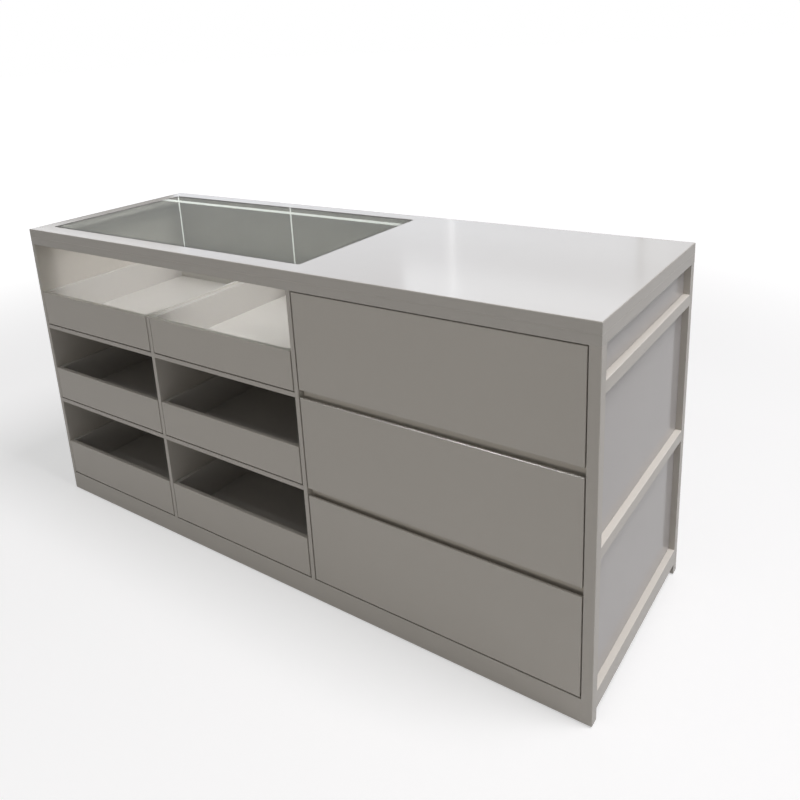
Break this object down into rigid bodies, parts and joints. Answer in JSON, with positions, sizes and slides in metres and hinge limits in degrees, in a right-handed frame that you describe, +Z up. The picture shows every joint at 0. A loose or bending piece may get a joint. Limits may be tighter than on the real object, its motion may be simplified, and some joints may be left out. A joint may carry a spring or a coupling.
{
  "type": "display counter",
  "caption": "Shop display counter with a glass-topped bay of pull-out trays beside a bank of drawers with finger channels, on a plinth with a frame-and-panel end.",
  "frame": {"origin": "centre of the footprint, on the floor", "axes": "+X to the viewer's right along the counter, +Y from the front to the back, +Z up"},
  "size_m": [1.8, 0.6, 0.9],
  "materials": {
    "lacquer_carcass": "gloss light warm grey lacquer on fibreboard",
    "lacquer_top": "gloss light warm grey lacquer on fibreboard",
    "lacquer_side": "gloss light warm grey lacquer on fibreboard",
    "lacquer_front": "gloss light warm grey lacquer on fibreboard",
    "lacquer_tray": "semi-gloss light warm grey lacquer on fibreboard",
    "lacquer_drawer_box": "semi-gloss light warm grey lacquer on fibreboard",
    "glass": "clear float glass with a faint green edge",
    "slide_steel": "zinc plated sheet steel",
    "glide_nylon": "matt nylon",
    "foot_plastic": "matt black plastic"
  },
  "bodies": {
    "carcass": {"top_slab": "lacquer_top", "glass_pane": "glass", "front_apron": "lacquer_top", "rear_apron": "lacquer_top", "right_top_rail": "lacquer_top", "left_end_panel": "lacquer_carcass", "right_front_post": "lacquer_carcass", "right_rear_post": "lacquer_carcass", "right_side_panel": "lacquer_side", "side_rail_upper": "lacquer_carcass", "side_rail_middle": "lacquer_carcass", "side_rail_lower": "lacquer_carcass", "middle_divider": "lacquer_carcass", "centre_divider_upper": "lacquer_carcass", "centre_divider_middle": "lacquer_carcass", "centre_divider_lower": "lacquer_carcass", "shelf_upper": "lacquer_carcass", "shelf_lower": "lacquer_carcass", "base_panel": "lacquer_carcass", "back_panel": "lacquer_carcass", "front_plinth": "lacquer_carcass", "rear_plinth": "lacquer_carcass", "channel_rail_lower": "lacquer_carcass", "channel_rail_upper": "lacquer_carcass", "levelling_feet": "foot_plastic", "tray_glide_strips": "glide_nylon", "cabinet_slide_members": "slide_steel"},
    "tray_upper_left": {"tray_upper_left_front": "lacquer_front", "tray_upper_left_walls": "lacquer_tray", "tray_upper_left_bottom": "lacquer_tray"},
    "tray_upper_right": {"tray_upper_right_front": "lacquer_front", "tray_upper_right_walls": "lacquer_tray", "tray_upper_right_bottom": "lacquer_tray"},
    "tray_middle_left": {"tray_middle_left_front": "lacquer_front", "tray_middle_left_walls": "lacquer_tray", "tray_middle_left_bottom": "lacquer_tray"},
    "tray_middle_right": {"tray_middle_right_front": "lacquer_front", "tray_middle_right_walls": "lacquer_tray", "tray_middle_right_bottom": "lacquer_tray"},
    "tray_lower_left": {"tray_lower_left_front": "lacquer_front", "tray_lower_left_walls": "lacquer_tray", "tray_lower_left_bottom": "lacquer_tray"},
    "tray_lower_right": {"tray_lower_right_front": "lacquer_front", "tray_lower_right_walls": "lacquer_tray", "tray_lower_right_bottom": "lacquer_tray"},
    "drawer_1": {"drawer_1_front": "lacquer_front", "drawer_1_walls": "lacquer_drawer_box", "drawer_1_bottom": "lacquer_drawer_box", "drawer_1_slide_inner": "slide_steel"},
    "drawer_1_slide_middle": {"drawer_1_slide_middle": "slide_steel"},
    "drawer_2": {"drawer_2_front": "lacquer_front", "drawer_2_walls": "lacquer_drawer_box", "drawer_2_bottom": "lacquer_drawer_box", "drawer_2_slide_inner": "slide_steel"},
    "drawer_2_slide_middle": {"drawer_2_slide_middle": "slide_steel"},
    "drawer_3": {"drawer_3_front": "lacquer_front", "drawer_3_walls": "lacquer_drawer_box", "drawer_3_bottom": "lacquer_drawer_box", "drawer_3_slide_inner": "slide_steel"},
    "drawer_3_slide_middle": {"drawer_3_slide_middle": "slide_steel"}
  },
  "joints": [
    {"name": "tray_upper_left_slide", "type": "slide", "parent": "carcass", "child": "tray_upper_left", "axis": [0, -1, 0], "range_m": [0, 0.4]},
    {"name": "tray_upper_right_slide", "type": "slide", "parent": "carcass", "child": "tray_upper_right", "axis": [0, -1, 0], "range_m": [0, 0.4]},
    {"name": "tray_middle_left_slide", "type": "slide", "parent": "carcass", "child": "tray_middle_left", "axis": [0, -1, 0], "range_m": [0, 0.4]},
    {"name": "tray_middle_right_slide", "type": "slide", "parent": "carcass", "child": "tray_middle_right", "axis": [0, -1, 0], "range_m": [0, 0.4]},
    {"name": "tray_lower_left_slide", "type": "slide", "parent": "carcass", "child": "tray_lower_left", "axis": [0, -1, 0], "range_m": [0, 0.4]},
    {"name": "tray_lower_right_slide", "type": "slide", "parent": "carcass", "child": "tray_lower_right", "axis": [0, -1, 0], "range_m": [0, 0.4]},
    {"name": "drawer_1_slide", "type": "slide", "parent": "carcass", "child": "drawer_1", "axis": [0, -1, 0], "range_m": [0, 0.48]},
    {"name": "drawer_1_slide_middle_travel", "type": "slide", "parent": "carcass", "child": "drawer_1_slide_middle", "axis": [0, -1, 0], "range_m": [0, 0.24]},
    {"name": "drawer_2_slide", "type": "slide", "parent": "carcass", "child": "drawer_2", "axis": [0, -1, 0], "range_m": [0, 0.48]},
    {"name": "drawer_2_slide_middle_travel", "type": "slide", "parent": "carcass", "child": "drawer_2_slide_middle", "axis": [0, -1, 0], "range_m": [0, 0.24]},
    {"name": "drawer_3_slide", "type": "slide", "parent": "carcass", "child": "drawer_3", "axis": [0, -1, 0], "range_m": [0, 0.48]},
    {"name": "drawer_3_slide_middle_travel", "type": "slide", "parent": "carcass", "child": "drawer_3_slide_middle", "axis": [0, -1, 0], "range_m": [0, 0.24]}
  ],
  "couplings": [
    {"joint": "drawer_1_slide_middle_travel", "follows": "drawer_1_slide", "ratio": 0.5},
    {"joint": "drawer_2_slide_middle_travel", "follows": "drawer_2_slide", "ratio": 0.5},
    {"joint": "drawer_3_slide_middle_travel", "follows": "drawer_3_slide", "ratio": 0.5}
  ]
}
